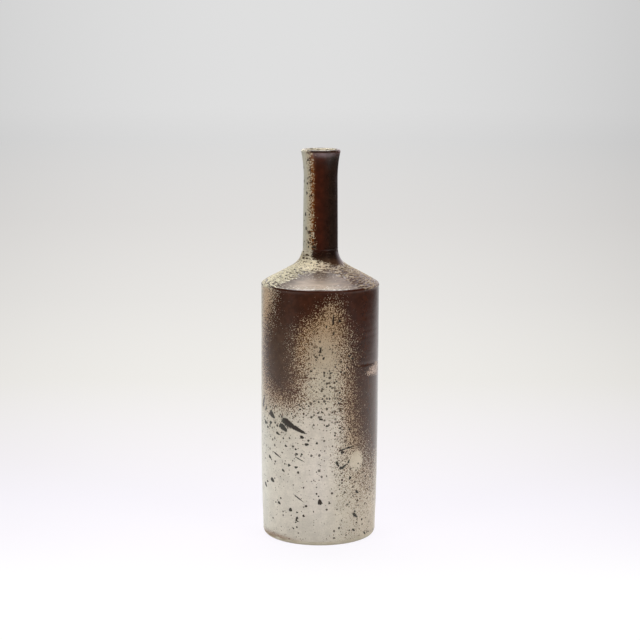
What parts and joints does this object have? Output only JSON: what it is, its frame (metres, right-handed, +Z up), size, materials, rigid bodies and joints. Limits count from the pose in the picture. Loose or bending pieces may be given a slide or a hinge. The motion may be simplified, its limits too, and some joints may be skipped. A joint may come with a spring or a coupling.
{
  "type": "bottle vase",
  "caption": "Tall glazed stoneware bottle vase: straight cylindrical body, sloping shoulder with a crisp edge, and a slim neck with a flared lip for a stem or a spray.",
  "frame": {"origin": "middle of the foot, on the surface that the vase stands on", "axes": "+Z up along the vase's axis, through the neck; -Y towards the side that the picture shows"},
  "size_m": [0.0908, 0.0908, 0.3],
  "materials": {
    "clay": "bare fired stoneware, matt and slightly gritty",
    "slip": "fired slip, matt",
    "outer_glaze": "satin stone-grey glaze with an iron-brown pour, blue-black splashes and a cream ash crust on the shoulder",
    "liner_glaze": "satin cream liner glaze"
  },
  "bodies": {
    "root": {"body_section": "clay", "shoulder_section": "clay", "neck_section": "clay", "shoulder_slip_joint": "slip", "neck_slip_joint": "slip", "outer_glaze": "outer_glaze", "liner_glaze": "liner_glaze"}
  },
  "joints": []
}
